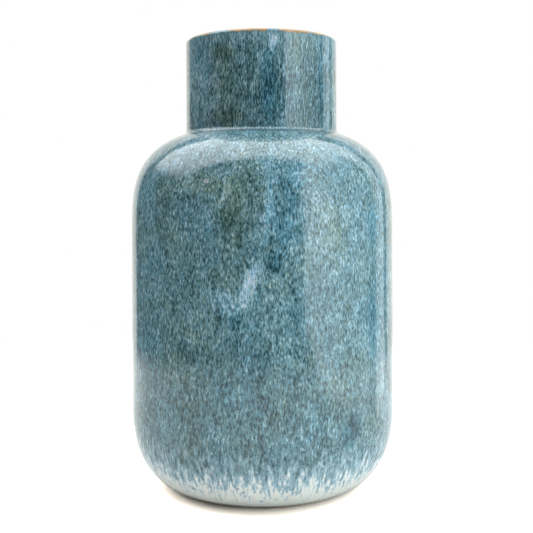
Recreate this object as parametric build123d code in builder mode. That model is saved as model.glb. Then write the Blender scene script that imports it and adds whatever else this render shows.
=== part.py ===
"""Stoneware flower vase: a cast body, a luted collar, a turned foot and its layered glaze coats.

Units are millimetres. The vase stands on its foot at z = 0 and turns about Z, so every piece is
revolved from a profile drawn in the XZ plane, as (radius, height).

The outside is drawn as level curves. A curve at depth 0 is the finished surface, and a curve at
depth d runs parallel to it, d further in. Pieces that touch share a level curve.
"""

import os
from collections import namedtuple
from math import cos, radians, sin

from build123d import *

# Outside form
overall_height = 270.0
body_diameter = 160.0
neck_diameter = 93.0
neck_height = 57.2  # lip down to the corner between collar and shoulder
shoulder_height = 58.3  # that corner down to the top of the straight wall
shoulder_tuck = 42.0  # how far in under the collar the shoulder would run before it lay level
shoulder_squareness = 3.0  # 2 is an ellipse, and more is squarer
base_reach = 26.0  # how far in the rounded base runs from the wall
base_height = 44.8  # top of the rounded base, above its lowest glaze
base_squareness = 2.0
corner_round = 3.2  # concave radius where the collar meets the shoulder
seam_thickness = 0.8  # slip between the collar's foot and the shoulder

# Clay
wall_thickness = 5.5
neck_wall = 4.9
floor_thickness = 6.5
foot_lift = 0.8  # gap under the glaze, so that it doesn't touch the table
foot_width = 8.0
foot_edge = 0.5  # bevel on the foot's two bottom edges
underside_dome = 1.5  # how far the underside rises from the foot to the middle

# Glaze
blue_thickness = 0.6
white_thickness = 0.4
liner_thickness = 0.6
blue_edge_height = 11.0  # where the blue coat ends above the table
blue_edge_round = 0.35  # soft roll on the blue coat's lower edge
lip_round = 2.0  # outer radius of the finished lip
rim_round = 2.4  # inner radius of the finished lip

# Worked out from the above
coat = blue_thickness + white_thickness
body_radius = body_diameter / 2
neck_radius = neck_diameter / 2
collar_radius = neck_radius - coat
opening_radius = collar_radius - neck_wall
mouth_radius = opening_radius - liner_thickness
inner_radius = body_radius - coat - wall_thickness
wall_top = overall_height - neck_height - shoulder_height
wall_bottom = foot_lift + base_height
foot_height = foot_lift + coat
foot_radius = body_radius - base_reach
foot_bore = foot_radius - foot_width
floor_height = foot_height + floor_thickness
lip_start = overall_height - lip_round
rim_start = overall_height - rim_round

# A rounded corner of the profile: a quarter superellipse about (radius, height), which reaches out
# by reach and up or down by rise. Its turn is 0 at the wall and 90 where it lies level.
Corner = namedtuple("Corner", "radius height reach rise squareness")
CURVE_POINTS = 9

shoulder_reach = body_radius - neck_radius + shoulder_tuck
shoulder_cut = 1 - (shoulder_tuck / shoulder_reach) ** shoulder_squareness
shoulder = Corner(
    radius=body_radius - shoulder_reach,
    height=wall_top,
    reach=shoulder_reach,
    rise=shoulder_height / shoulder_cut ** (1 / shoulder_squareness),
    squareness=shoulder_squareness,
)
base = Corner(
    radius=foot_radius,
    height=wall_bottom,
    reach=base_reach,
    rise=-base_height,
    squareness=base_squareness,
)
inner_base = Corner(
    radius=foot_radius,
    height=wall_bottom,
    reach=inner_radius - foot_radius,
    rise=floor_height - wall_bottom,
    squareness=base_squareness,
)


def normal_on(corner, turn):
    """Outward normal of a corner at that turn."""
    across, along = cos(radians(turn)), sin(radians(turn))
    power = 2 - 2 / corner.squareness
    return Vector(across**power / corner.reach, along**power / corner.rise).normalized()


def point_on(corner, turn, depth):
    """Point of a corner's level curve at that turn."""
    across, along = cos(radians(turn)), sin(radians(turn))
    power = 2 / corner.squareness
    surface = Vector(
        corner.radius + corner.reach * across**power,
        corner.height + corner.rise * along**power,
    )
    return surface - normal_on(corner, turn) * depth


def turn_where(reached):
    """Smallest turn, from 0 to 90, at which the condition starts to hold."""
    low, high = 0.0, 90.0
    while high - low > 1e-9:
        middle = (low + high) / 2
        if reached(middle):
            high = middle
        else:
            low = middle
    return high


def turn_at_radius(corner, depth, radius):
    """Turn at which a corner's level curve has come in to that radius."""
    return turn_where(lambda turn: point_on(corner, turn, depth).X <= radius)


def level_curve(corner, depth, first_turn, last_turn):
    """Draws a corner's level curve between two turns."""
    step = (last_turn - first_turn) / (CURVE_POINTS - 1)
    turns = [first_turn + step * i for i in range(CURVE_POINTS)]
    ends = [normal_on(corner, first_turn), normal_on(corner, last_turn)]
    way = 1 if step * corner.rise > 0 else -1
    return Spline(
        *[point_on(corner, turn, depth) for turn in turns],
        tangents=[Vector(-normal.Y, normal.X) * way for normal in ends],
    )


def wall_line(depth):
    """Draws the straight wall's level line."""
    return Line((body_radius - depth, wall_top), (body_radius - depth, wall_bottom))


# Where the collar's round corner leaves the shoulder, with its centre out in the air
corner_turn = turn_at_radius(shoulder, -corner_round, neck_radius + corner_round)
corner_centre = point_on(shoulder, corner_turn, -corner_round)
corner_normal = normal_on(shoulder, corner_turn)
corner_sweep = Vector(1, 0).get_angle(corner_normal)
seat_turn = turn_at_radius(shoulder, coat, collar_radius)
seat_height = point_on(shoulder, seat_turn, coat).Y
collar_foot = seat_height + seam_thickness
blue_edge_turn = turn_where(lambda turn: point_on(base, turn, 0).Y <= blue_edge_height)


def corner_arc(depth):
    """Draws the level arc of the concave corner between collar and shoulder."""
    return CenterArc(corner_centre, corner_round + depth, 180, corner_sweep)


os.makedirs("parts", exist_ok=True)

# Cast clay body: floor, rounded base, wall and shoulder, trimmed level where the collar stands
with BuildPart() as stoneware_body:
    with BuildSketch(Plane.XZ):
        with BuildLine():
            Line((opening_radius, seat_height), (collar_radius, seat_height))
            level_curve(shoulder, coat, seat_turn, corner_turn)
            level_curve(shoulder, coat, corner_turn, 0)
            wall_line(coat)
            level_curve(base, coat, 0, 90)
            Line((foot_radius, foot_height), (foot_bore, foot_height))
            dome_top = (0, foot_height + underside_dome)
            TangentArc(dome_top, (foot_bore, foot_height), tangent=(1, 0))
            Line(dome_top, (0, floor_height))
            Line((0, floor_height), (foot_radius, floor_height))
            level_curve(inner_base, 0, 0, 90)
            wall_line(coat + wall_thickness)
            opening_turn = turn_at_radius(shoulder, coat + wall_thickness, opening_radius)
            ceiling = level_curve(shoulder, coat + wall_thickness, 0, opening_turn)
            Line(ceiling @ 1, (opening_radius, seat_height))
        make_face()
    revolve(axis=Axis.Z)
stoneware_body.part.label = "stoneware_body"
export_step(stoneware_body.part, "parts/stoneware_body.step")

# Clay collar, stood in slip on the trimmed shoulder, with its lip rounded inside and out
with BuildPart() as stoneware_collar:
    with BuildSketch(Plane.XZ):
        with BuildLine():
            Line((opening_radius, collar_foot), (collar_radius, collar_foot))
            Line((collar_radius, collar_foot), (collar_radius, lip_start))
            lip = CenterArc((neck_radius - lip_round, lip_start), lip_round - coat, 0, 90)
            rim_centre = (opening_radius + rim_round - coat, rim_start)
            rim = CenterArc(rim_centre, rim_round - coat, 90, 90)
            Line(lip @ 1, rim @ 0)
            Line(rim @ 1, (opening_radius, collar_foot))
        make_face()
    revolve(axis=Axis.Z)
stoneware_collar.part.label = "stoneware_collar"
export_step(stoneware_collar.part, "parts/stoneware_collar.step")

# Slip that lutes the collar to the shoulder: a seam under the collar and a bead in the corner
with BuildPart() as luting_slip:
    with BuildSketch(Plane.XZ):
        with BuildLine():
            corner_arc(coat)
            level_curve(shoulder, coat, seat_turn, corner_turn)
            Polyline(
                (collar_radius, seat_height),
                (opening_radius, seat_height),
                (opening_radius, collar_foot),
                (collar_radius, collar_foot),
                (collar_radius, corner_centre.Y),
            )
        make_face()
    revolve(axis=Axis.Z)
luting_slip.part.label = "luting_slip"
export_step(luting_slip.part, "parts/luting_slip.step")

# Bare clay foot that the vase stands on
with BuildPart() as foot_ring:
    with BuildSketch(Plane.XZ):
        with BuildLine():
            Polyline(
                (foot_bore, foot_height),
                (foot_bore, foot_edge),
                (foot_bore + foot_edge, 0),
                (foot_radius - foot_edge, 0),
                (foot_radius, foot_edge),
                (foot_radius, foot_height),
                close=True,
            )
        make_face()
    revolve(axis=Axis.Z)
foot_ring.part.label = "foot_ring"
export_step(foot_ring.part, "parts/foot_ring.step")

# White glaze, next to the clay from the foot to the lip, which shows below the blue coat
with BuildPart() as white_base_glaze:
    with BuildSketch(Plane.XZ):
        with BuildLine():
            Line((foot_radius, foot_lift + blue_thickness), (foot_radius, foot_height))
            level_curve(base, blue_thickness, blue_edge_turn, 90)
            level_curve(base, blue_thickness, 0, blue_edge_turn)
            level_curve(base, coat, 0, 90)
            for depth in (blue_thickness, coat):
                wall_line(depth)
                level_curve(shoulder, depth, corner_turn, 0)
                corner_arc(depth)
                radius = neck_radius - depth
                Line((radius, corner_centre.Y), (radius, lip_start))
            Line((neck_radius - blue_thickness, lip_start), (collar_radius, lip_start))
        make_face()
    revolve(axis=Axis.Z)
white_base_glaze.part.label = "white_base_glaze"
export_step(white_base_glaze.part, "parts/white_base_glaze.step")

# Blue reactive glaze that runs down over the white on the body
with BuildPart() as blue_body_glaze:
    with BuildSketch(Plane.XZ):
        with BuildLine():
            for depth in (0, blue_thickness):
                level_curve(base, depth, 0, blue_edge_turn)
                wall_line(depth)
                level_curve(shoulder, depth, corner_turn, 0)
                corner_arc(depth)
            blue_edge = [point_on(base, blue_edge_turn, depth) for depth in (0, blue_thickness)]
            Line(*blue_edge)
            Line(
                (neck_radius, corner_centre.Y),
                (neck_radius - blue_thickness, corner_centre.Y),
            )
        make_face()
    revolve(axis=Axis.Z)
    edge_circles = blue_body_glaze.edges().filter_by(GeomType.CIRCLE).group_by(Axis.Z)[0]
    fillet(edge_circles.sort_by(SortBy.RADIUS)[-1], blue_edge_round)
blue_body_glaze.part.label = "blue_body_glaze"
export_step(blue_body_glaze.part, "parts/blue_body_glaze.step")

# The same blue glaze on the collar
with BuildPart() as blue_neck_glaze:
    with BuildSketch(Plane.XZ):
        with BuildLine():
            Polyline(
                (neck_radius, corner_centre.Y),
                (neck_radius, lip_start),
                (neck_radius - blue_thickness, lip_start),
                (neck_radius - blue_thickness, corner_centre.Y),
                close=True,
            )
        make_face()
    revolve(axis=Axis.Z)
blue_neck_glaze.part.label = "blue_neck_glaze"
export_step(blue_neck_glaze.part, "parts/blue_neck_glaze.step")

# Glaze over the lip, which breaks to amber where it thins on the edge
with BuildPart() as amber_lip_glaze:
    with BuildSketch(Plane.XZ):
        with BuildLine():
            Line((neck_radius, lip_start), (collar_radius, lip_start))
            Line((mouth_radius, rim_start), (opening_radius, rim_start))
            for depth in (0, coat):
                radius = neck_radius - lip_round
                lip = CenterArc((radius, lip_start), lip_round - depth, 0, 90)
                inner = mouth_radius if depth == 0 else opening_radius
                rim_centre = (inner + rim_round - depth, rim_start)
                rim = CenterArc(rim_centre, rim_round - depth, 90, 90)
                Line(lip @ 1, rim @ 0)
        make_face()
    revolve(axis=Axis.Z)
amber_lip_glaze.part.label = "amber_lip_glaze"
export_step(amber_lip_glaze.part, "parts/amber_lip_glaze.step")

# Liner glaze that makes the body hold water, up through the shoulder's opening
with BuildPart() as body_liner_glaze:
    with BuildSketch(Plane.XZ):
        with BuildLine():
            wet_floor = floor_height + liner_thickness
            Line((0, floor_height), (0, wet_floor))
            Line((mouth_radius, seat_height), (opening_radius, seat_height))
            for depth in (0, liner_thickness):
                level = floor_height + depth
                Line((0, level), (foot_radius, level))
                level_curve(inner_base, depth, 0, 90)
                inside = coat + wall_thickness + depth
                wall_line(inside)
                radius = opening_radius - depth
                last_turn = turn_at_radius(shoulder, inside, radius)
                ceiling = level_curve(shoulder, inside, 0, last_turn)
                Line(ceiling @ 1, (radius, seat_height))
        make_face()
    revolve(axis=Axis.Z)
body_liner_glaze.part.label = "body_liner_glaze"
export_step(body_liner_glaze.part, "parts/body_liner_glaze.step")

# The same liner inside the collar
with BuildPart() as neck_liner_glaze:
    with BuildSketch(Plane.XZ):
        with BuildLine():
            Polyline(
                (mouth_radius, seat_height),
                (opening_radius, seat_height),
                (opening_radius, rim_start),
                (mouth_radius, rim_start),
                close=True,
            )
        make_face()
    revolve(axis=Axis.Z)
neck_liner_glaze.part.label = "neck_liner_glaze"
export_step(neck_liner_glaze.part, "parts/neck_liner_glaze.step")
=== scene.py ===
"""Stoneware flower vase in Blender: its glaze coats, lip, liner, clay and foot, in a small pale studio.

Lengths are metres. The vase stands on z = 0 and turns about Z. Each piece is an outline of
(radius, height) points, drawn by extruding one vertex and then spun round the axis.
"""

from collections import namedtuple
from math import cos, pi, radians, sin

import bpy
from bpy.props import FloatProperty, FloatVectorProperty, IntProperty, PointerProperty, StringProperty
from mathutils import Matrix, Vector


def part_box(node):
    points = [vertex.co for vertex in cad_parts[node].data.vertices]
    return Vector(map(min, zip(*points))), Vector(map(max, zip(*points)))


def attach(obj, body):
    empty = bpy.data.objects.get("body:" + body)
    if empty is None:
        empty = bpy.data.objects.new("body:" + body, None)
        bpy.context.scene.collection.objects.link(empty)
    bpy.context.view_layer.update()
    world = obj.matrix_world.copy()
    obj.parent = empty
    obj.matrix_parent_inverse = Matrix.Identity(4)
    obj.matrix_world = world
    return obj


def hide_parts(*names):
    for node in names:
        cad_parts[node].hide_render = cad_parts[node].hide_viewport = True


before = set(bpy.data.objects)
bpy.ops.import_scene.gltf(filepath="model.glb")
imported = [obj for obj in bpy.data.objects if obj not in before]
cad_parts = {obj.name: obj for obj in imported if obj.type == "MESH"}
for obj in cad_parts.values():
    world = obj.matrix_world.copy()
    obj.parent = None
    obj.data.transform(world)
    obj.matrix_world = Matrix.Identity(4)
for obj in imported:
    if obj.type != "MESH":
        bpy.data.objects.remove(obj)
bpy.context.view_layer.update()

bl_info = {
    "name": "Stoneware Flower Vase",
    "version": (1, 0, 0),
    "blender": (4, 5, 0),
    "location": "View3D > Sidebar > Vase",
    "description": "Turns a stoneware vase and its glaze coats, and sets up a studio for it",
    "category": "Add Mesh",
}

MM = 0.001
WELD = 0.01 * MM
BODY_LOW, BODY_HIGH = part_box("blue_body_glaze")
NECK_LOW, NECK_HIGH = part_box("blue_neck_glaze")
LINER_LOW, LINER_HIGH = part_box("body_liner_glaze")
_, NECK_LINER_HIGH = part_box("neck_liner_glaze")
_, WHITE_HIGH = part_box("white_base_glaze")
_, CLAY_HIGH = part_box("stoneware_body")
_, LIP_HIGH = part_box("amber_lip_glaze")
_, FOOT_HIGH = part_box("foot_ring")

# The outside: the body, the neck, and the heights where the neck's coats give way to the lip's
BODY_RADIUS = BODY_HIGH[0]
NECK_RADIUS = NECK_HIGH[0]
TOP = LIP_HIGH[2]
LIP_START = NECK_HIGH[2]
RIM_START = NECK_LINER_HIGH[2]

# The coats: the blue one, and the blue and the white together
BLUE_THICKNESS = BODY_RADIUS - WHITE_HIGH[0]
COAT = BODY_RADIUS - CLAY_HIGH[0]

# The clay's inside, and the height of the seat where the collar stands on the shoulder
INNER_RADIUS = LINER_HIGH[0]
OPENING_RADIUS = NECK_LINER_HIGH[0]
SEAT = LINER_HIGH[2]

FOOT_RADIUS = FOOT_HIGH[0]
FOOT_HEIGHT = FOOT_HIGH[2]

# Lights: the tint of the lamps, the tint of the wall behind, and plain white
LAMP_TINT = "#f6feff"
WALL_TINT = "#fffaf0"
WHITE = "#ffffff"


class VaseForm(bpy.types.PropertyGroup):
    """Sizes of the thrown form that a maker would change"""

    neck_height: FloatProperty(
        name="Neck Height", description="From the lip down to the corner on the shoulder",
        default=57.2 * MM, unit="LENGTH")
    shoulder_height: FloatProperty(
        name="Shoulder Height", description="From that corner down to the top of the straight wall",
        default=58.3 * MM, unit="LENGTH")
    shoulder_tuck: FloatProperty(
        name="Shoulder Tuck", description="How far under the neck the shoulder would run to lie level",
        default=42 * MM, unit="LENGTH")
    shoulder_squareness: FloatProperty(
        name="Shoulder Squareness", description="Two is an ellipse, and more is squarer", default=3.0)
    base_height: FloatProperty(
        name="Base Height", description="Height of the rounded base above its lowest glaze",
        default=44.8 * MM, unit="LENGTH")
    base_squareness: FloatProperty(
        name="Base Squareness", description="Two is an ellipse, and more is squarer", default=2.0)
    corner_round: FloatProperty(
        name="Corner Round", description="Hollow radius where the neck meets the shoulder",
        default=3.2 * MM, unit="LENGTH")
    lip_round: FloatProperty(
        name="Lip Round", description="Radius of the lip's outer edge",
        default=TOP - LIP_START, unit="LENGTH")
    rim_round: FloatProperty(
        name="Rim Round", description="Radius of the lip's inner edge",
        default=TOP - RIM_START, unit="LENGTH")
    liner_thickness: FloatProperty(
        name="Liner Thickness", description="Thickness of the glaze inside",
        default=0.6 * MM, unit="LENGTH")
    foot_width: FloatProperty(
        name="Foot Width", description="Width of the bare foot ring", default=8 * MM, unit="LENGTH")
    foot_lift: FloatProperty(
        name="Foot Lift", description="Gap under the lowest glaze", default=0.8 * MM, unit="LENGTH")
    segments: IntProperty(
        name="Segments", description="Steps round the vase", default=480, min=24)


class GlazeLook(bpy.types.PropertyGroup):
    """Colours and grain of the glazes and the clay, as sRGB hex values and real sizes"""

    ink: StringProperty(name="Ink", description="Thickest, darkest glaze", default="#1c3c45")
    teal: StringProperty(name="Teal", description="Dark glaze between the streaks", default="#45646c")
    blue: StringProperty(name="Blue", description="Body colour of the streaks", default="#5d828d")
    sky: StringProperty(name="Sky", description="Light streaks", default="#7198a4")
    frost: StringProperty(name="Frost", description="Palest streaks", default="#a3c3d4")
    mist: StringProperty(name="Mist", description="Palest drifts", default="#d0d9ec")
    olive: StringProperty(name="Olive", description="Tint where iron shows", default="#fff1da")
    cobalt: StringProperty(name="Cobalt", description="Tint of the deep blue runs", default="#d2f3ff")
    celadon: StringProperty(name="Celadon", description="Pale glaze by the foot", default="#e4e8e4")
    amber: StringProperty(name="Amber", description="Glaze broken on the lip", default="#bb9a62")
    burnt: StringProperty(name="Burnt", description="Darker amber on the lip", default="#9a7442")
    rust: StringProperty(name="Rust", description="Iron pinholes", default="#b0602f")
    iron: StringProperty(name="Iron", description="Dark iron pits and specks", default="#4a2f1f")
    liner: StringProperty(name="Liner", description="Glaze inside", default="#5d7f88")
    clay: StringProperty(name="Clay", description="Bare fired stoneware", default="#9c8067")
    sand: StringProperty(name="Sand", description="Darker grain of the clay", default="#6d5440")
    streak_width: FloatProperty(
        name="Streak Width", description="Width of one streak", default=0.85 * MM, unit="LENGTH")
    streak_length: FloatProperty(
        name="Streak Length", description="Length of one streak", default=2.3 * MM, unit="LENGTH")
    fringe_low: FloatProperty(
        name="Fringe Low", description="Where an average blue run has faded out, along the wall",
        default=1 * MM, unit="LENGTH")
    fringe_high: FloatProperty(
        name="Fringe High", description="Where such a run begins to fade, along the wall",
        default=17.5 * MM, unit="LENGTH")


class StudioLook(bpy.types.PropertyGroup):
    """Radiance of the lights, with 1 as paper white, the table's paint, and the camera"""

    top: FloatProperty(name="Top", description="Overhead panel", default=4.2)
    side: FloatProperty(name="Side", description="Long panel on the right", default=3.1)
    strip: FloatProperty(name="Strip", description="Short panel behind it", default=1.5)
    wall: FloatProperty(name="Wall", description="White panel behind", default=1.1)
    room: FloatProperty(name="Room", description="Dim room in front and on the left", default=0.08)
    # Painted light on the table by the foot, for the camera only: brighter than white, and warm as
    # painted bounce light from the clay foot
    table: FloatVectorProperty(
        name="Table", description="Paint by the foot as the camera sees it, past 1 to come out white",
        size=3, default=(2.2, 1.98, 1.82))
    board: StringProperty(name="Board", description="Paint of the table", default="#d3d3d0")
    tooth: StringProperty(name="Tooth", description="Paler tooth of that paint", default="#dadad7")
    camera_place: FloatVectorProperty(
        name="Camera", description="Where the camera stands", size=3, subtype="TRANSLATION",
        default=(0.0, -540.5 * MM, 173 * MM))
    camera_roll: FloatProperty(
        name="Camera Roll", description="How far the camera leans", default=radians(0.27),
        subtype="ANGLE")
    camera_lens: FloatProperty(
        name="Camera Lens", description="Focal length", default=58.8, unit="CAMERA")
    camera_shift: FloatVectorProperty(
        name="Camera Shift", description="Shift of the lens to the side and up", size=2,
        default=(0.0086, -0.1276))


# A rounded corner of the outline: a quarter superellipse about (radius, height)
Corner = namedtuple("Corner", "radius height reach rise squareness")


def point_on(corner, lean, depth=0.0):
    """Point of a corner whose outward normal leans that far up from level, depth inside it."""
    power = 1 / (corner.squareness - 1)
    across = (corner.reach * cos(lean)) ** power
    along = (abs(corner.rise) * sin(abs(lean))) ** power
    size = (across**corner.squareness + along**corner.squareness) ** (1 / corner.squareness)
    side = 1 if corner.rise > 0 else -1
    return (
        corner.radius + corner.reach * across / size - depth * cos(lean),
        corner.height + corner.rise * along / size - depth * side * sin(abs(lean)),
    )


def lean_where(reached):
    """Smallest lean, from level to upright, at which the condition holds."""
    low, high = 0.0, pi / 2
    for _ in range(40):
        middle = (low + high) / 2
        if reached(middle):
            high = middle
        else:
            low = middle
    return high


def spread(first, last, count):
    """Evenly spaced values from first to last, both included."""
    return [first + (last - first) * i / (count - 1) for i in range(count)]


def shoulder_of(form):
    """The shoulder's corner."""
    reach = BODY_RADIUS - NECK_RADIUS + form.shoulder_tuck
    left = 1 - (form.shoulder_tuck / reach) ** form.shoulder_squareness
    rise = form.shoulder_height / left ** (1 / form.shoulder_squareness)
    height = TOP - form.neck_height - form.shoulder_height
    return Corner(BODY_RADIUS - reach, height, reach, rise, form.shoulder_squareness)


def base_of(form):
    """The rounded base's corner, outside."""
    height = form.foot_lift + form.base_height
    reach = BODY_RADIUS - FOOT_RADIUS
    return Corner(FOOT_RADIUS, height, reach, -form.base_height, form.base_squareness)


def inner_base_of(form):
    """The rounded base's corner, on the clay inside."""
    height = form.foot_lift + form.base_height
    rise = LINER_LOW[2] - height
    return Corner(FOOT_RADIUS, height, INNER_RADIUS - FOOT_RADIUS, rise, form.base_squareness)


def neck_corner(form):
    """Lean and centre of the hollow round where the neck meets the shoulder."""
    shoulder = shoulder_of(form)
    edge = NECK_RADIUS + form.corner_round
    lean = lean_where(lambda angle: point_on(shoulder, angle, -form.corner_round)[0] <= edge)
    return lean, point_on(shoulder, lean, -form.corner_round)


def shoulder_line(form, depth, count):
    """Outline from the top of the wall over the shoulder and up the hollow round to the neck."""
    lean, centre = neck_corner(form)
    line = [point_on(shoulder_of(form), angle, depth) for angle in spread(0, lean, count)]
    reach = form.corner_round + depth
    for angle in spread(lean, 0, 9)[1:]:
        line.append((centre[0] - reach * cos(angle), centre[1] - reach * sin(angle)))
    return line


def wall_line(depth, low, high, count):
    """Outline up the straight wall, without its ends."""
    return [(BODY_RADIUS - depth, height) for height in spread(low, high, count)[1:-1]]


def base_line(form, depth, last_lean, count):
    """Outline from low on the rounded base up to the bottom of the wall."""
    return [point_on(base_of(form), -angle, depth) for angle in spread(last_lean, 0, count)]


def arc(centre, radius, first, last, count):
    """Outline along an arc, with angles in degrees from level."""
    angles = [radians(angle) for angle in spread(first, last, count)]
    return [(centre[0] + radius * cos(angle), centre[1] + radius * sin(angle)) for angle in angles]


def turned(name, outline, segments):
    """Draws a closed outline and spins it round the axis into a solid piece."""
    bpy.ops.object.select_all(action="DESELECT")
    bpy.ops.mesh.primitive_plane_add(size=MM, location=(0, 0, 0))
    piece = bpy.context.object
    piece.name = piece.data.name = name
    bpy.ops.object.mode_set(mode="EDIT")
    bpy.ops.mesh.merge(type="CENTER")
    bpy.ops.transform.translate(value=(outline[0][0], 0, outline[0][1]))
    for here, there in zip(outline, outline[1:] + outline[:1]):
        step = (there[0] - here[0], 0, there[1] - here[1])
        bpy.ops.mesh.extrude_region_move(TRANSFORM_OT_translate={"value": step})
    bpy.ops.mesh.select_all(action="SELECT")
    bpy.ops.mesh.remove_doubles(threshold=WELD)
    bpy.ops.mesh.spin(steps=segments, angle=2 * pi, center=(0, 0, 0), axis=(0, 0, 1))
    bpy.ops.mesh.select_all(action="SELECT")
    bpy.ops.mesh.remove_doubles(threshold=WELD)
    bpy.ops.mesh.normals_make_consistent(inside=False)
    bpy.ops.object.mode_set(mode="OBJECT")
    bpy.ops.object.shade_smooth_by_angle(angle=radians(50))
    return piece


def rippled(piece, size, height, middle):
    """Ripples the skin that faces away from a point on the axis, as glaze settles when it melts."""
    bpy.ops.object.mode_set(mode="EDIT")
    bpy.ops.mesh.select_all(action="DESELECT")
    bpy.ops.object.mode_set(mode="OBJECT")
    centre = Vector((0, 0, middle))
    for face in piece.data.polygons:
        face.select = face.normal.dot(face.center - centre) > 0
    bpy.ops.object.mode_set(mode="EDIT")
    bpy.ops.object.vertex_group_add()
    bpy.ops.object.vertex_group_assign()
    bpy.ops.object.mode_set(mode="OBJECT")
    clouds = bpy.data.textures.new(piece.name + "_ripple", "CLOUDS")
    clouds.noise_scale = size
    ripple = piece.modifiers.new("ripple", "DISPLACE")
    ripple.texture = clouds
    ripple.texture_coords = "LOCAL"
    ripple.vertex_group = piece.vertex_groups[0].name
    ripple.strength = height
    ripple.mid_level = 0.5
    bpy.ops.object.modifier_apply(modifier=ripple.name)
    bpy.ops.object.vertex_group_remove(all=True)


def finish_piece(piece, material, slot, *nodes):
    """Gives a piece its material, hangs it on the root body, and hides the nodes it stands for."""
    piece.data.materials.clear()
    piece.data.materials.append(material)
    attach(piece, "root")
    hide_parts(*nodes)


def linear(hex_colour):
    """Linear RGBA of an sRGB hex value."""
    channels = [int(hex_colour[i : i + 2], 16) / 255 for i in (1, 3, 5)]
    return [c / 12.92 if c <= 0.04045 else ((c + 0.055) / 1.055) ** 2.4 for c in channels] + [1.0]


def add(tree, kind, inputs=None, stops=None, **settings):
    """Adds a node with its settings, and sets or links its inputs. Stops fill a colour ramp."""
    node = tree.nodes.new(kind)
    for key, value in settings.items():
        setattr(node, key, value)
    for key, value in (inputs or {}).items():
        named = [socket for socket in node.inputs if socket.enabled and socket.name == key]
        socket = node.inputs[key] if isinstance(key, int) else named[0]
        if isinstance(value, bpy.types.Node):
            value = next(output for output in value.outputs if output.enabled)
        if isinstance(value, bpy.types.NodeSocket):
            tree.links.new(value, socket)
        else:
            socket.default_value = value
    if stops:
        ramp = node.color_ramp
        while len(ramp.elements) < len(stops):
            ramp.elements.new(1.0)
        for element, (place, colour) in zip(ramp.elements, stops):
            element.position = place
            element.color = colour
    return node


def new_material(name):
    """An empty node material and its tree."""
    material = bpy.data.materials.new(name)
    material.use_nodes = True
    material.node_tree.nodes.clear()
    return material, material.node_tree


def surface(tree, colour, roughness, ior, normal, **more):
    """Ends a material in a Principled shader."""
    inputs = {"Base Color": colour, "Roughness": roughness, "IOR": ior, "Normal": normal}
    shader = add(tree, "ShaderNodeBsdfPrincipled", {**inputs, **more})
    add(tree, "ShaderNodeOutputMaterial", {"Surface": shader})


def flow_of(tree):
    """Coordinates that run with the glaze: round the body at its full girth, and along the wall."""
    place = add(tree, "ShaderNodeTexCoord").outputs["Object"]
    split = add(tree, "ShaderNodeSeparateXYZ", {0: place})
    flat = add(tree, "ShaderNodeVectorMath", {0: place, 1: (1, 1, 0)}, operation="MULTIPLY")
    radius = add(tree, "ShaderNodeVectorMath", {0: flat}, operation="LENGTH").outputs["Value"]
    grow = add(tree, "ShaderNodeMath", {0: BODY_RADIUS, 1: radius}, operation="DIVIDE")
    around = add(tree, "ShaderNodeVectorMath", {0: flat, "Scale": grow}, operation="SCALE")
    inward = add(tree, "ShaderNodeMath", {0: BODY_RADIUS, 1: radius}, operation="SUBTRACT")
    above = add(tree, "ShaderNodeMath", {0: split.outputs["Z"], 1: TOP / 2}, operation="SUBTRACT")
    side = add(tree, "ShaderNodeMath", {0: above}, operation="SIGN")
    along = add(tree, "ShaderNodeMath", {0: side, 1: inward, 2: split.outputs["Z"]},
                operation="MULTIPLY_ADD")
    lift = add(tree, "ShaderNodeCombineXYZ", {"Z": along})
    flow = add(tree, "ShaderNodeVectorMath", {0: around, 1: lift}, operation="ADD")
    return flow, along, split


def squeezed(tree, flow, width, length):
    """Coordinates on which a pattern that wide comes out that long down the pot."""
    return add(tree, "ShaderNodeVectorMath", {0: flow, 1: (1, 1, width / length)}, operation="MULTIPLY")


def grain(tree, flow, width, length, detail=2.0, roughness=0.5, shift=0.0):
    """Noise whose grains are that wide round the pot and that long down it."""
    scaled = squeezed(tree, flow, width, length)
    moved = add(tree, "ShaderNodeVectorMath", {0: scaled, 1: (shift, shift, shift)}, operation="ADD")
    return add(tree, "ShaderNodeTexNoise", {
        "Vector": moved, "Scale": 1 / width, "Detail": detail, "Roughness": roughness})


def weighted(tree, value, low, high, to_low=0.0, to_high=1.0):
    """Value mapped smoothly from low..high to another range."""
    return add(tree, "ShaderNodeMapRange", {
        "Value": value, "From Min": low, "From Max": high, "To Min": to_low, "To Max": to_high},
        interpolation_type="SMOOTHSTEP")


def sum_of(tree, *terms):
    """Sum of value times weight over the terms."""
    total = None
    for value, weight in terms:
        inputs = {0: value, 1: weight, 2: total if total else 0.0}
        total = add(tree, "ShaderNodeMath", inputs, operation="MULTIPLY_ADD")
    return total


def centred(middle, *noises):
    """Noises and their weights, and a level that makes their sum middle on average."""
    return (*noises, (1.0, middle - sum(weight for _, weight in noises) / 2))


def product_of(tree, *terms):
    """Product of the terms."""
    total = terms[0]
    for term in terms[1:]:
        total = add(tree, "ShaderNodeMath", {0: total, 1: term}, operation="MULTIPLY")
    return total


def window(tree, value, low, high, soft):
    """One between low and high, with edges that soft, and nothing outside."""
    rising = weighted(tree, value, low - soft, low + soft)
    return product_of(tree, rising, weighted(tree, value, high + soft, high - soft))


def pushed(tree, vector, noise, distance):
    """Coordinates pushed about by a noise's colour, by up to half the distance along each axis."""
    colour = noise.outputs["Color"]
    bend = add(tree, "ShaderNodeVectorMath", {0: colour, 1: (0.5, 0.5, 0.5)}, operation="SUBTRACT")
    push = add(tree, "ShaderNodeVectorMath", {0: bend, "Scale": distance}, operation="SCALE")
    return add(tree, "ShaderNodeVectorMath", {0: vector, 1: push}, operation="ADD")


def mixed(tree, factor, first, second, blend="MIX"):
    """Second colour over the first by a factor."""
    return add(tree, "ShaderNodeMix", {"Factor": factor, "A": first, "B": second},
               data_type="RGBA", blend_type=blend)


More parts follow.
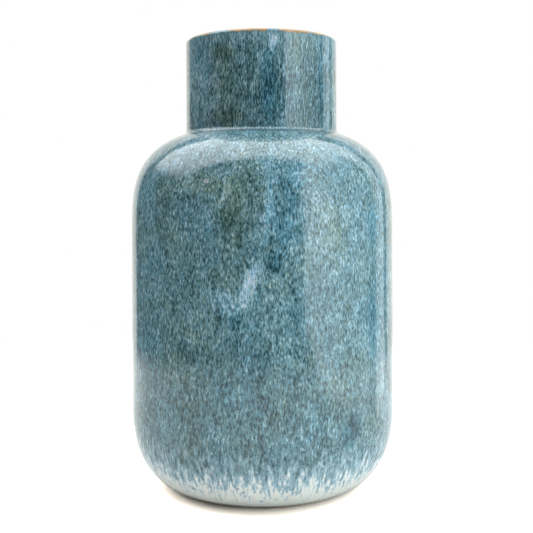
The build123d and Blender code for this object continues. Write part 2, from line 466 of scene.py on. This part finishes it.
def at(angle, along):
    """Place on the flow coordinates: degrees round from the front, and millimetres along the wall."""
    turn = radians(angle)
    return BODY_RADIUS * sin(turn), -BODY_RADIUS * cos(turn), along * MM


def patch_weight(tree, vector, patch):
    """One in the middle of a patch, falling to nothing at its edge."""
    spot = add(tree, "ShaderNodeMapping", {
        "Vector": vector, "Location": at(patch.angle, patch.along),
        "Rotation": (0, radians(patch.tilt), radians(patch.angle)),
        "Scale": (patch.half_width * MM, 0.05, patch.half_height * MM)}, vector_type="TEXTURE")
    away = add(tree, "ShaderNodeVectorMath", {0: spot}, operation="LENGTH").outputs["Value"]
    return weighted(tree, away, 1.25, 0.2)


def dot_weight(tree, flow, place, outer, inner):
    """One inside a dot's inner radius, falling to nothing at its outer one."""
    away = add(tree, "ShaderNodeVectorMath", {0: flow, 1: at(*place)}, operation="DISTANCE")
    return weighted(tree, away.outputs["Value"], outer, inner)


# A patch of different glaze: degrees round from the front and millimetres along the wall, its half
# sizes in millimetres, degrees of tilt, how much paler it is, and how much warmer. One wide band
# just outside the neck is a painted reflection of the neck in the shoulder. The last ten are on the
# sides and the back.
Patch = namedtuple("Patch", "angle along half_width half_height tilt pale warm")
PATCHES = (
    Patch(-27, 291, 18, 6, 0, -0.14, 0.8),
    Patch(-27, 254, 20, 8, 0, -0.16, 1.1),
    Patch(-20, 274, 30, 16, 0, 0.0, 0.5),
    Patch(6, 270, 9, 24, 0, -0.12, -1.2),
    Patch(9, 296, 7, 7, 10, 0.5, 0.1),
    Patch(26, 291, 6, 12, -6, 0.16, 0.5),
    Patch(9.5, 182, 5, 8, 0, -0.16, -0.5),
    Patch(9.2, 160, 8, 34, 6, -0.05, -0.7),
    Patch(5, 139, 6, 8, 10, -0.16, -0.7),
    Patch(-8, 172, 16, 30, 4, -0.03, 0.75),
    Patch(-13, 164, 5, 9, 10, -0.16, 0.3),
    Patch(2.5, 170, 4, 30, 3, 0.19, -0.6),
    Patch(-4.5, 128, 5.2, 16, 24, 0.45, -0.1),
    Patch(-14, 117, 13, 6, 35, 0.22, -0.3),
    Patch(-14.4, 177, 3.5, 8, 25, 0.22, 0.4),
    Patch(15, 185, 4, 10, -20, 0.14, -0.5),
    Patch(-10.3, 108, 6, 6, 0, -0.2, -0.6),
    Patch(-30.5, 91, 9, 7, 0, -0.16, -0.1),
    Patch(-18, 130, 5, 8, 0, -0.1, 0.4),
    Patch(27, 158, 15, 30, 0, 0.08, 0.4),
    Patch(38, 46, 7, 13, 16, -0.26, -0.9),
    Patch(-34, 140, 50, 70, 0, -0.03, 0.2),
    Patch(47, 268, 20, 36, 0, -0.17, -0.1),
    Patch(-23, 26, 8, 6, 0, -0.16, 0.4),
    Patch(-43, 178, 16, 12, 0, -0.06, 0.5),
    Patch(17, 212, 18, 7, 0, 0.12, 0.1),
    Patch(-25, 183, 14, 9, 0, 0.06, 0.7),
    Patch(4, 268, 60, 26, 0, -0.15, 0.0),
    # Paler, bluer band on the shoulder just outside the neck: a painted reflection of the neck
    Patch(0, 242, 60, 5, 0, 0.1, -0.9),
    Patch(78, 196, 12, 26, 0, -0.14, -0.8),
    Patch(104, 150, 10, 22, 14, 0.2, 0.2),
    Patch(128, 92, 14, 12, 0, -0.16, -0.4),
    Patch(152, 176, 18, 30, -6, -0.06, 1.0),
    Patch(176, 262, 12, 24, 0, -0.14, -0.9),
    Patch(186, 128, 6, 18, -20, 0.4, -0.1),
    Patch(214, 168, 10, 34, 4, -0.12, -0.8),
    Patch(232, 108, 12, 10, 0, -0.16, 0.5),
    Patch(262, 182, 10, 18, 12, 0.14, 0.6),
    Patch(288, 140, 12, 26, 0, -0.08, -0.5),
)

# Runs of glaze over the lip. Their pale value is how far down the amber reaches, in millimetres, and
# a minus sign drives it up.
RUNS_OVER = (
    Patch(-33, 304, 11, 16, 0, -4.0, 0.0),
    Patch(9, 304, 6.5, 16, 0, -2.4, 0.0),
    Patch(70, 304, 14, 16, 0, -5.0, 0.0),
    Patch(160, 304, 24, 16, 0, -4.0, 0.0),
)

# Pinholes where a bubble burst: degrees round from the front and millimetres along the wall
PINHOLES = (
    (-22.9, 184.9), (-21.2, 23.2), (8, 21.4), (-19, 13), (-10.9, 10.8), (-8.5, 7.2),
    (-60, 130), (118, 96), (201, 22))

# Dark pits of iron on the shoulder, placed the same way
PITS = ((-11.7, 208.8), (-6.3, 209.8), (-9.2, 205.7), (96, 204), (171, 212))


# How pale the streaked glaze is on average and at its palest, where nought is its thickest and darkest
MIDDLE_TONE = 0.53
PALEST_TONE = 1.25

# What the steps of the streaked glaze share: places on the pot, the way the glaze ran, its grains,
# and how pale and how warm it is
Melt = namedtuple("Melt", "flow along height run fine coarse hue tone warm")


def melt_of(tree, look, contrast, drips):
    """Lays the streaks, the clouds and the patches over each other."""
    flow, along, split = flow_of(tree)
    width, length = look.streak_width, look.streak_length
    sway = grain(tree, flow, 20 * MM, 40 * MM, detail=1.0)
    run = pushed(tree, flow, sway, 5 * MM)
    fine = grain(tree, run, width, length, roughness=0.6)
    coarse = grain(tree, run, 2.0 * width, 3.2 * length, roughness=0.55, shift=3.7)
    cells = add(tree, "ShaderNodeTexVoronoi", {
        "Vector": squeezed(tree, run, width, length), "Scale": 1 / width})
    dash, tint, _ = add(tree, "ShaderNodeSeparateColor", {"Color": cells.outputs["Color"]}).outputs
    cloud = grain(tree, run, 24 * MM, 34 * MM, detail=3.0, roughness=0.55, shift=1.3)
    clump = grain(tree, run, 6 * MM, 10 * MM, shift=6.1)
    hue = grain(tree, run, 20 * MM, 30 * MM, shift=11.3)
    ragged = pushed(tree, run, coarse, 8 * MM)
    spots = [(patch_weight(tree, ragged, patch), patch) for patch in PATCHES]
    streaks = [(value, weight * contrast) for value, weight in (
        (fine, 1.75), (coarse, drips), (dash, 0.35), (cloud, 0.35), (clump, 0.5))]
    lower_half = weighted(tree, along, 120 * MM, 50 * MM)
    tone = sum_of(
        tree, *centred(MIDDLE_TONE, *streaks), (lower_half, -0.09),
        *((spot, patch.pale) for spot, patch in spots))
    warm = sum_of(
        tree, *centred(0.0, (hue, 2.0), (tint, 1.2)), *((spot, patch.warm) for spot, patch in spots))
    return Melt(flow, along, split.outputs["Z"], run, fine, coarse, hue, tone, warm)


def melted_colour(tree, look, melt):
    """Colour of the blue glaze, from thick and dark to thin and pale, with its tints."""
    stops = [
        (0.04, linear(look.ink)), (0.24, linear(look.teal)), (0.4, linear(look.blue)),
        (0.56, linear(look.sky)), (0.76, linear(look.frost)), (1.0, linear(look.mist))]
    share = sum_of(tree, (melt.tone, 1 / PALEST_TONE))
    colour = add(tree, "ShaderNodeValToRGB", {"Fac": share}, stops=stops)
    olive = weighted(tree, melt.warm, 0.0, 1.0)
    colour = mixed(tree, olive, colour, linear(look.olive), "MULTIPLY")
    cobalt = weighted(tree, melt.warm, 0.0, -1.0)
    return mixed(tree, cobalt, colour, linear(look.cobalt), "MULTIPLY")


def pooled_and_shaded(tree, look, melt, colour):
    """Darkens the glaze on the shoulder just under the neck: partly where the glaze gathered thick,
    partly painted shade of the crease.
    """
    # Where the shoulder turns up into the hollow corner, along the wall
    crease = SEAT + 31.4 * MM
    pool_and_shade = weighted(tree, melt.along, crease - 6.4 * MM, crease - 0.4 * MM)
    broken = weighted(tree, melt.coarse, 0.2, 0.5, 0.6, 0.9)
    ending = weighted(tree, melt.along, crease + 1.6 * MM, crease)
    # Ink in the crease: glaze gathered thick there, with painted shade on top
    return mixed(tree, product_of(tree, pool_and_shade, broken, ending), colour, linear(look.ink))


def fringed(tree, look, melt, colour):
    """Feathers the runs out through a frosty edge into the pale glaze over the foot."""
    tongue = grain(tree, melt.run, 2 * MM, 8 * MM, roughness=0.6, shift=2.2)
    runs = centred(0.0, (tongue, 80 * MM), (melt.fine, 36 * MM), (melt.coarse, 24 * MM))
    reach = sum_of(tree, *runs, (melt.along, 1.0))
    low, high = look.fringe_low, look.fringe_high
    frost = weighted(tree, reach, high + 19 * MM, low + 12 * MM, 0.0, 0.75)
    colour = mixed(tree, frost, colour, linear(look.frost))
    return mixed(tree, weighted(tree, reach, high, low), colour, linear(look.celadon))


def broken_on_lip(tree, look, melt, colour):
    """Thins the glaze towards the lip, and breaks it to amber on the lip's edge."""
    thin = weighted(tree, melt.height, TOP - 9 * MM, TOP - 1 * MM, 0.0, 0.3)
    colour = mixed(tree, thin, colour, linear(look.sky))
    wander = grain(tree, melt.flow, 9 * MM, 9 * MM, shift=4.4)
    edge = sum_of(
        tree, *centred(0.0, (wander, 5 * MM), (melt.fine, 1 * MM)), (melt.height, 1.0),
        *((patch_weight(tree, melt.flow, patch), patch.pale * MM) for patch in RUNS_OVER))
    broken = weighted(tree, edge, TOP - 1.9 * MM, TOP - 0.9 * MM)
    darker = weighted(tree, melt.hue, 0.35, 0.65)
    return mixed(tree, broken, colour, mixed(tree, darker, linear(look.amber), linear(look.burnt)))


def pitted(tree, look, melt, colour):
    """Adds the pinholes, rusty inside a pale ring, and the dark pits."""
    for place in PINHOLES:
        ring = dot_weight(tree, melt.flow, place, 1.8 * MM, 0.8 * MM)
        colour = mixed(tree, ring, colour, linear(look.frost))
        hole = dot_weight(tree, melt.flow, place, 0.8 * MM, 0.4 * MM)
        colour = mixed(tree, hole, colour, linear(look.rust))
    for place in PITS:
        pit = dot_weight(tree, melt.flow, place, 0.9 * MM, 0.4 * MM)
        colour = mixed(tree, pit, colour, linear(look.iron))
    return colour


def streaked_glaze(name, look, contrast=1.0, drips=0.3, fringe=False, lip=False):
    """Reactive stoneware glaze, poured over white and fired until it ran.

    It is a glassy coat about half a millimetre thick, so its surface is smooth and shiny. Melted
    streaks run down the pot. It is dark where it gathered thick, with painted shade in the crease
    under the neck, pale where titanium came to the surface, and breaks to amber on the lip.
    """
    material, tree = new_material(name)
    melt = melt_of(tree, look, contrast, drips)
    colour = pooled_and_shaded(tree, look, melt, melted_colour(tree, look, melt))
    if fringe:
        colour = pitted(tree, look, melt, fringed(tree, look, melt, colour))
    if lip:
        colour = broken_on_lip(tree, look, melt, colour)
    rough = weighted(tree, melt.tone, 0.1, 0.9, 0.08, 0.14)
    swell = grain(tree, melt.flow, 7 * MM, 9 * MM, detail=1.0, roughness=0.4, shift=8.8)
    height = sum_of(tree, (swell, 0.06), (melt.coarse, 0.02), (melt.fine, 0.01))
    bump = add(tree, "ShaderNodeBump", {"Height": height, "Distance": 1 * MM, "Strength": 0.5})
    surface(tree, colour, rough, 1.52, bump)
    return material


def liner_glaze(name, look):
    """Plain liner glaze, poured in and out: smooth, glossy, a little uneven over throwing rings."""
    material, tree = new_material(name)
    flow, _, _ = flow_of(tree)
    cloud = grain(tree, flow, 18 * MM, 30 * MM, detail=3.0)
    fine = grain(tree, flow, 1.2 * MM, 4 * MM, roughness=0.6)
    tone = sum_of(tree, (cloud, 0.9), (fine, 0.5))
    colour = add(tree, "ShaderNodeValToRGB", {"Fac": tone}, stops=[
        (0.45, linear(look.teal)), (0.7, linear(look.liner)), (0.95, linear(look.sky))])
    bump = add(tree, "ShaderNodeBump", {"Height": cloud, "Distance": 0.2 * MM, "Strength": 0.5})
    surface(tree, colour, 0.18, 1.52, bump)
    return material


def fired_clay(name, look):
    """Fired stoneware, turned on the wheel and left bare: dense, matt, buff with iron specks."""
    material, tree = new_material(name)
    place = add(tree, "ShaderNodeTexCoord").outputs["Object"]
    sand = add(tree, "ShaderNodeTexNoise", {
        "Vector": place, "Scale": 1 / (0.5 * MM), "Detail": 3.0, "Roughness": 0.6})
    blush = add(tree, "ShaderNodeTexNoise", {"Vector": place, "Scale": 1 / (20 * MM), "Detail": 2.0})
    speck = add(tree, "ShaderNodeTexVoronoi", {"Vector": place, "Scale": 1 / (2.6 * MM)})
    tone = sum_of(tree, (sand, 0.6), (blush, 0.5))
    body = mixed(tree, weighted(tree, tone, 0.3, 0.8), linear(look.sand), linear(look.clay))
    iron = weighted(tree, speck.outputs["Distance"], 0.16, 0.08)
    colour = mixed(tree, iron, body, linear(look.iron))
    bump = add(tree, "ShaderNodeBump", {"Height": sand, "Distance": 0.08 * MM, "Strength": 0.8})
    surface(tree, colour, 0.85, 1.5, bump)
    return material


class VASE_OT_blue_body_glaze(bpy.types.Operator):
    """Turns the streaked coat on the body, from its feathered lower edge to the neck"""

    bl_idname = "vase.blue_body_glaze"
    bl_label = "Blue Body Glaze"

    def execute(self, context):
        form, look = context.scene.vase_form, context.scene.vase_glaze
        base, shoulder = base_of(form), shoulder_of(form)
        edge = lean_where(lambda angle: point_on(base, angle)[1] <= BODY_LOW[2])
        outside = []
        # The coat thins to next to nothing over the lower half of the rounded base
        for angle in spread(edge, 0, 30):
            thinning = max(0.0, angle / edge - 0.5) * 2
            outside.append(point_on(base, angle, BLUE_THICKNESS * 0.98 * thinning**2))
        outside += wall_line(0, base.height, shoulder.height, 34)
        outside += shoulder_line(form, 0, 40)
        inside = base_line(form, BLUE_THICKNESS, edge, 16)
        inside += wall_line(BLUE_THICKNESS, base.height, shoulder.height, 8)
        inside += shoulder_line(form, BLUE_THICKNESS, 20)
        piece = turned("blue_glaze_on_body", outside + inside[::-1], form.segments)
        rippled(piece, size=14 * MM, height=0.12 * MM, middle=TOP * 0.4)
        material = streaked_glaze("streaked_reactive_glaze_body", look, fringe=True)
        finish_piece(piece, material, "blue_glaze", "blue_body_glaze")
        return {"FINISHED"}


class VASE_OT_blue_neck_glaze(bpy.types.Operator):
    """Turns the streaked coat on the neck"""

    bl_idname = "vase.blue_neck_glaze"
    bl_label = "Blue Neck Glaze"

    def execute(self, context):
        form, look = context.scene.vase_form, context.scene.vase_glaze
        heights = spread(NECK_LOW[2], LIP_START, 40)
        outside = [(NECK_RADIUS, height) for height in heights]
        inside = [(NECK_RADIUS - BLUE_THICKNESS, height) for height in heights[::-3]]
        if inside[-1][1] > NECK_LOW[2]:
            inside.append((NECK_RADIUS - BLUE_THICKNESS, NECK_LOW[2]))
        piece = turned("blue_glaze_on_neck", outside + inside, form.segments)
        material = streaked_glaze(
            "streaked_reactive_glaze_neck", look, contrast=1.15, drips=0.8, lip=True)
        finish_piece(piece, material, "blue_glaze", "blue_neck_glaze")
        return {"FINISHED"}


class VASE_OT_white_base_glaze(bpy.types.Operator):
    """Turns the pale coat that lies on the clay and shows as a band above the foot"""

    bl_idname = "vase.white_base_glaze"
    bl_label = "White Base Glaze"

    def execute(self, context):
        form, look = context.scene.vase_form, context.scene.vase_glaze
        base, shoulder = base_of(form), shoulder_of(form)
        roll = (COAT - BLUE_THICKNESS) / 2
        outline = []
        for depth, count in ((BLUE_THICKNESS, 30), (COAT, 16)):
            line = base_line(form, depth, pi / 2, count)
            line[0] = (line[0][0] + roll, line[0][1])
            line += wall_line(depth, base.height, shoulder.height, count // 2)
            line += shoulder_line(form, depth, count)
            line.append((NECK_RADIUS - depth, LIP_START))
            outline = line if not outline else outline + line[::-1]
        roll_centre = (FOOT_RADIUS + roll, form.foot_lift + BLUE_THICKNESS + roll)
        outline += arc(roll_centre, roll, 90, 270, 7)[1:-1]
        piece = turned("white_glaze_over_clay", outline, form.segments * 3 // 4)
        # The fringe of the blue coat goes on over the white one, so no hard edge shows between them
        material = streaked_glaze("celadon_white_glaze", look, fringe=True)
        finish_piece(piece, material, "white_glaze", "white_base_glaze")
        return {"FINISHED"}


class VASE_OT_amber_lip(bpy.types.Operator):
    """Turns the thin glaze over the lip, rounded outside and in"""

    bl_idname = "vase.amber_lip"
    bl_label = "Amber Lip"

    def execute(self, context):
        form, look = context.scene.vase_form, context.scene.vase_glaze
        mouth_radius = OPENING_RADIUS - form.liner_thickness
        outer_centre = (NECK_RADIUS - form.lip_round, LIP_START)
        inner_centre = (mouth_radius + form.rim_round, RIM_START)
        outline = arc(outer_centre, form.lip_round, 0, 90, 16)
        outline += arc(inner_centre, form.rim_round, 90, 180, 16)
        clay_centre = (OPENING_RADIUS + form.rim_round - COAT, RIM_START)
        outline += arc(clay_centre, form.rim_round - COAT, 180, 90, 10)
        outline += arc(outer_centre, form.lip_round - COAT, 90, 0, 10)
        piece = turned("amber_lip", outline, form.segments)
        material = streaked_glaze("amber_broken_glaze", look, contrast=0.8, lip=True)
        finish_piece(piece, material, "amber_glaze", "amber_lip_glaze")
        return {"FINISHED"}


class VASE_OT_liners(bpy.types.Operator):
    """Turns the two liner coats, over the throwing rings inside the body and the neck"""

    bl_idname = "vase.liners"
    bl_label = "Liner Glazes"

    def execute(self, context):
        form, look = context.scene.vase_form, context.scene.vase_glaze
        material = liner_glaze("blue_grey_liner_glaze", look)
        thickness = form.liner_thickness
        pitch, relief = 6 * MM, 0.14 * MM
        shoulder, base = shoulder_of(form), inner_base_of(form)
        inset = BODY_RADIUS - INNER_RADIUS
        outline = []
        for skin in (thickness, 0.0):
            line = [(0.0, LINER_LOW[2] + skin)]
            line += [(radius, LINER_LOW[2] + skin) for radius in spread(0, FOOT_RADIUS, 24)[1:]]
            line += [point_on(base, angle, skin) for angle in spread(pi / 2, 0, 20)[1:]]
            line += wall_line(inset + skin, base.height, shoulder.height, 110 if skin else 8)
            edge = OPENING_RADIUS - skin
            last = lean_where(lambda angle: point_on(shoulder, angle, inset + skin)[0] <= edge)
            line += [point_on(shoulder, angle, inset + skin) for angle in spread(0, last, 26)]
            line.append((edge, SEAT))
            if skin:
                line = [
                    (radius - relief * (0.5 + 0.5 * sin(2 * pi * height / pitch)), height)
                    if base.height < height < shoulder.height else (radius, height)
                    for radius, height in line]
            outline = line if not outline else outline + line[::-1]
        piece = turned("liner_glaze_in_body", outline, form.segments // 2)
        finish_piece(piece, material, "liner_glaze", "body_liner_glaze")
        inner = OPENING_RADIUS - thickness
        heights = spread(SEAT, RIM_START, 80)
        rings = [(inner - 0.3 * relief * sin(pi * (height - SEAT) / (RIM_START - SEAT))
                  * (1 + sin(2 * pi * height / pitch)), height) for height in heights]
        outline = rings + [(OPENING_RADIUS, RIM_START), (OPENING_RADIUS, SEAT)]
        piece = turned("liner_glaze_in_neck", outline, form.segments * 5 // 8)
        finish_piece(piece, material, "liner_glaze", "neck_liner_glaze")
        return {"FINISHED"}


class VASE_OT_clay(bpy.types.Operator):
    """Turns the bare foot and gives the clay pieces under the glaze their material"""

    bl_idname = "vase.clay"
    bl_label = "Clay and Foot"

    def execute(self, context):
        form, look = context.scene.vase_form, context.scene.vase_glaze
        material = fired_clay("bare_fired_stoneware", look)
        bore = FOOT_RADIUS - form.foot_width
        soft = 0.5 * MM
        groove = 0.06 * MM
        outline = [(FOOT_RADIUS, FOOT_HEIGHT)]
        outline += arc((FOOT_RADIUS - soft, soft), soft, 0, -90, 7)
        treads = spread(FOOT_RADIUS - soft, bore + soft, 36)[1:-1]
        outline += [(radius, groove * (index % 2)) for index, radius in enumerate(treads)]
        outline += arc((bore + soft, soft), soft, 270, 180, 7)
        outline.append((bore, FOOT_HEIGHT))
        piece = turned("bare_foot", outline, form.segments * 3 // 4)
        finish_piece(piece, material, "stoneware", "foot_ring")
        for name in ("stoneware_body", "stoneware_collar", "luting_slip"):
            clay = bpy.data.objects[name]
            clay.data.materials.clear()
            clay.data.materials.append(material)
        return {"FINISHED"}


def standing_panel(name, back, front, bottom, top, back_radiance, front_radiance, tint=LAMP_TINT):
    """An upright panel of light between two places, with its own radiance at each end.

    The camera doesn't see it, but the glaze reflects it.
    """
    run = Vector(front) - Vector(back)
    middle = (Vector(front) + Vector(back)) / 2
    bpy.ops.object.light_add(type="AREA", location=(*middle, (bottom + top) / 2))
    lamp = bpy.context.object
    lamp.name = name
    facing = Vector((run.y, -run.x, 0))
    lamp.rotation_euler = facing.to_track_quat("-Z", "Y").to_euler()
    lamp.visible_camera = False
    lamp.data.shape = "RECTANGLE"
    lamp.data.size = run.length
    lamp.data.size_y = top - bottom
    # Power that gives a radiance of one over the panel's area, before the emission scales it
    lamp.data.energy = pi * run.length * (top - bottom)
    lamp.data.use_nodes = True
    tree = lamp.data.node_tree
    tree.nodes.clear()
    place = add(tree, "ShaderNodeNewGeometry").outputs["Parametric"]
    split = add(tree, "ShaderNodeSeparateXYZ", {0: place})
    # The first parametric value is one at the back end, and the radiance changes over the back half
    power = weighted(tree, split.outputs["X"], 1.0, 0.5, back_radiance, front_radiance)
    glow = add(tree, "ShaderNodeEmission", {"Color": linear(tint), "Strength": power})
    add(tree, "ShaderNodeOutputLight", {"Surface": glow})


def painted_board(studio):
    """Board painted flat white: no gloss, and a fine tooth, so it takes a soft, even shadow.

    The vase sees its plain paint. The camera sees painted light on it: lit up to white, and warmer by
    the foot as painted bounce light from the clay.
    """
    material, tree = new_material("white_painted_board")
    place = add(tree, "ShaderNodeTexCoord").outputs["Object"]
    tooth = add(tree, "ShaderNodeTexNoise", {"Vector": place, "Scale": 1 / (0.8 * MM)})
    paint = mixed(tree, tooth, linear(studio.board), linear(studio.tooth))
    reach = add(tree, "ShaderNodeVectorMath", {0: place}, operation="LENGTH").outputs["Value"]
    clear_of_foot = weighted(tree, reach, 0.07, 0.14)
    # Painted light for the camera only: the table brightened past white, and warm by the foot as
    # painted bounce light from the clay, so the foot's shadow comes out tight and warm
    painted_table_light = mixed(tree, clear_of_foot, (*studio.table, 1.0), linear(WHITE))
    seen = add(tree, "ShaderNodeLightPath").outputs["Is Camera Ray"]
    bump = add(tree, "ShaderNodeBump", {"Height": tooth, "Distance": 0.02 * MM})
    faded_rim = weighted(tree, reach, 0.58, 0.4)
    surface(tree, mixed(tree, seen, paint, painted_table_light), 0.9, 1.45, bump, Alpha=faded_rim)
    return material


def lay_table(studio):
    """A round table under the vase, which fades out at its rim."""
    bpy.ops.object.select_all(action="DESELECT")
    bpy.ops.mesh.primitive_circle_add(vertices=128, radius=0.6, fill_type="NGON")
    floor = bpy.context.object
    floor.name = "pale_table"
    floor.data.materials.append(painted_board(studio))


def hang_lights(studio):
    """A long panel on the right, a short one behind it, and a white wall behind the vase."""
    standing_panel(
        "side_panel", back=(0.232, -0.013), front=(0.45, -0.67), bottom=0, top=0.7,
        back_radiance=0.9, front_radiance=studio.side)
    standing_panel(
        "strip_panel", back=(0.3, 0.15), front=(0.235, 0.03), bottom=0, top=0.5,
        back_radiance=2.2, front_radiance=studio.strip)
    standing_panel(
        "wall_panel", back=(-0.45, 0.45), front=(0.52, 0.45), bottom=-0.3, top=0.6,
        back_radiance=studio.wall, front_radiance=studio.wall, tint=WALL_TINT)


def pale_room(studio):
    """A dim room under a wide overhead panel, which the camera sees as plain white.

    The panel lies on a level plane at a height of one, and across and behind are where a direction
    meets it. It runs from just in front of the vase to the back, fades towards the horizon, and is
    brightest a little left of the middle.
    """
    world = bpy.data.worlds.new("pale_studio")
    world.use_nodes = True
    tree = world.node_tree
    tree.nodes.clear()
    toward = add(tree, "ShaderNodeTexCoord").outputs["Generated"]
    x, y, z = add(tree, "ShaderNodeSeparateXYZ", {0: toward}).outputs
    up = add(tree, "ShaderNodeMath", {0: z, 1: 0.02}, operation="MAXIMUM")
    across = add(tree, "ShaderNodeMath", {0: x, 1: up}, operation="DIVIDE")
    behind = add(tree, "ShaderNodeMath", {0: y, 1: up}, operation="DIVIDE")
    shape = product_of(
        tree, window(tree, across, -2.0, 1.1, 0.4), window(tree, behind, -0.42, 9.0, 0.12),
        weighted(tree, y, 0.6, 0.55), weighted(tree, z, 0.22, 0.5))
    off = add(tree, "ShaderNodeMath", {0: across, 1: 0.3}, operation="ADD")
    off = add(tree, "ShaderNodeMath", {0: off}, operation="ABSOLUTE")
    panel = product_of(tree, shape, weighted(tree, off, 0.0, 2.0, 1.0, 0.45))
    glow = sum_of(tree, (panel, studio.top), (1.0, studio.room))
    seen = add(tree, "ShaderNodeLightPath").outputs["Is Camera Ray"]
    lit = add(tree, "ShaderNodeBackground", {"Color": linear(WHITE), "Strength": glow})
    pale = add(tree, "ShaderNodeBackground", {"Color": linear(WHITE), "Strength": 1.0})
    both = add(tree, "ShaderNodeMixShader", {0: seen, 1: lit, 2: pale})
    add(tree, "ShaderNodeOutputWorld", {"Surface": both})
    return world


def stand_camera(studio):
    """The camera looks level along Y, and its lens is shifted down to the vase."""
    bpy.ops.object.camera_add(location=studio.camera_place)
    camera = bpy.context.object
    camera.rotation_euler = (pi / 2, studio.camera_roll, 0)
    camera.data.sensor_width = 36
    camera.data.lens = studio.camera_lens
    camera.data.shift_x, camera.data.shift_y = studio.camera_shift
    camera.data.clip_start = 0.01
    return camera


class VASE_OT_studio(bpy.types.Operator):
    """Sets the floor, the lights, the room and the camera"""

    bl_idname = "vase.studio"
    bl_label = "Studio"

    def execute(self, context):
        studio = context.scene.vase_studio
        lay_table(studio)
        hang_lights(studio)
        context.scene.world = pale_room(studio)
        context.scene.camera = stand_camera(studio)
        context.scene.view_settings.view_transform = "Standard"
        return {"FINISHED"}


class VASE_PT_panel(bpy.types.Panel):
    """Lists the vase's sizes, glazes and pieces"""

    bl_label = "Stoneware Vase"
    bl_idname = "VASE_PT_panel"
    bl_space_type = "VIEW_3D"
    bl_region_type = "UI"
    bl_category = "Vase"

    def draw(self, context):
        layout = self.layout
        for group in (context.scene.vase_form, context.scene.vase_glaze, context.scene.vase_studio):
            box = layout.box()
            for key in group.__annotations__:
                box.prop(group, key)
        for operator in OPERATORS:
            layout.operator(operator.bl_idname)


OPERATORS = (
    VASE_OT_studio,
    VASE_OT_blue_body_glaze,
    VASE_OT_blue_neck_glaze,
    VASE_OT_white_base_glaze,
    VASE_OT_amber_lip,
    VASE_OT_liners,
    VASE_OT_clay,
)
CLASSES = (VaseForm, GlazeLook, StudioLook, *OPERATORS, VASE_PT_panel)


def register():
    for cls in CLASSES:
        bpy.utils.register_class(cls)
    bpy.types.Scene.vase_form = PointerProperty(type=VaseForm)
    bpy.types.Scene.vase_glaze = PointerProperty(type=GlazeLook)
    bpy.types.Scene.vase_studio = PointerProperty(type=StudioLook)


def unregister():
    del bpy.types.Scene.vase_studio
    del bpy.types.Scene.vase_glaze
    del bpy.types.Scene.vase_form
    for cls in reversed(CLASSES):
        bpy.utils.unregister_class(cls)


def main():
    register()
    bpy.ops.vase.studio()
    bpy.ops.vase.blue_body_glaze()
    bpy.ops.vase.blue_neck_glaze()
    bpy.ops.vase.white_base_glaze()
    bpy.ops.vase.amber_lip()
    bpy.ops.vase.liners()
    bpy.ops.vase.clay()


if __name__ == "__main__":
    main()
